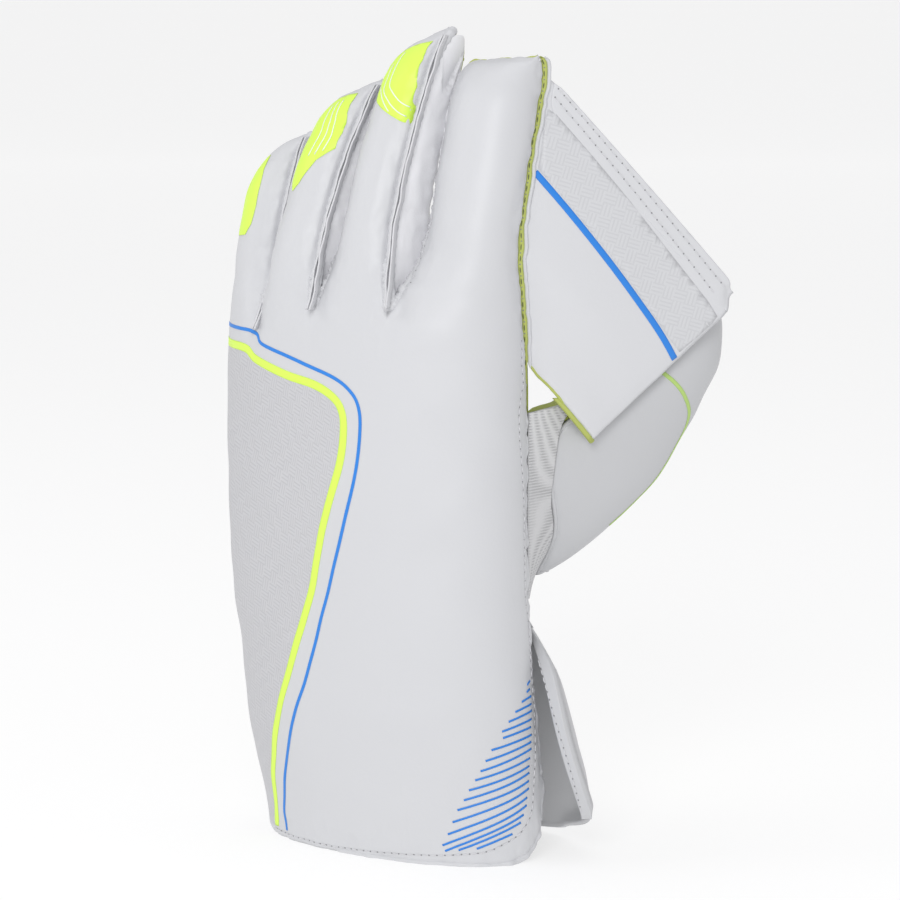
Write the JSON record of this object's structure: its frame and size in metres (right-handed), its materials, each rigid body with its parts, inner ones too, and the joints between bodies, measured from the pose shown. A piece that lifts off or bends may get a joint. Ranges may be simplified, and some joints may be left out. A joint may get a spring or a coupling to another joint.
{
  "type": "wicketkeeping glove",
  "caption": "White leather wicketkeeping glove for the left hand, with a flared cuff, a webbed thumb and a lime rubber palm, standing fingers up.",
  "frame": {"origin": "centre of the glove's box on the floor it stands on", "axes": "+Z from the cuff to the fingertips, -Y out of the back of the hand, +X to the thumb"},
  "size_m": [0.1728, 0.1296, 0.299],
  "materials": {
    "back_leather": "white coated leather with lime and blue prints",
    "thumb_leather": "white coated leather",
    "web_leather": "white coated leather with a blue stripe",
    "cuff_leather": "white coated leather",
    "finger_gusset": "thin white leather",
    "welt": "turned seam of white leather",
    "binding": "white edge binding",
    "palm_rubber": "lime pimpled rubber",
    "lime_edging": "lime rubber edge with dark stitches",
    "air_mesh": "grey knitted air mesh"
  },
  "bodies": {
    "root": {"back_panel": "back_leather", "palm_rubber": "palm_rubber", "little_ring_gusset": "finger_gusset", "ring_middle_gusset": "finger_gusset", "middle_index_gusset": "finger_gusset", "little_welt": "welt", "ring_welt": "welt", "middle_welt": "welt", "index_piping": "lime_edging", "thumb_stall": "thumb_leather", "thumb_facing": "palm_rubber", "mesh_gusset": "air_mesh", "thumb_web": "web_leather", "web_hem": "web_leather", "web_piping": "lime_edging", "palm_cuff": "cuff_leather", "palm_cuff_binding": "binding"}
  },
  "joints": []
}
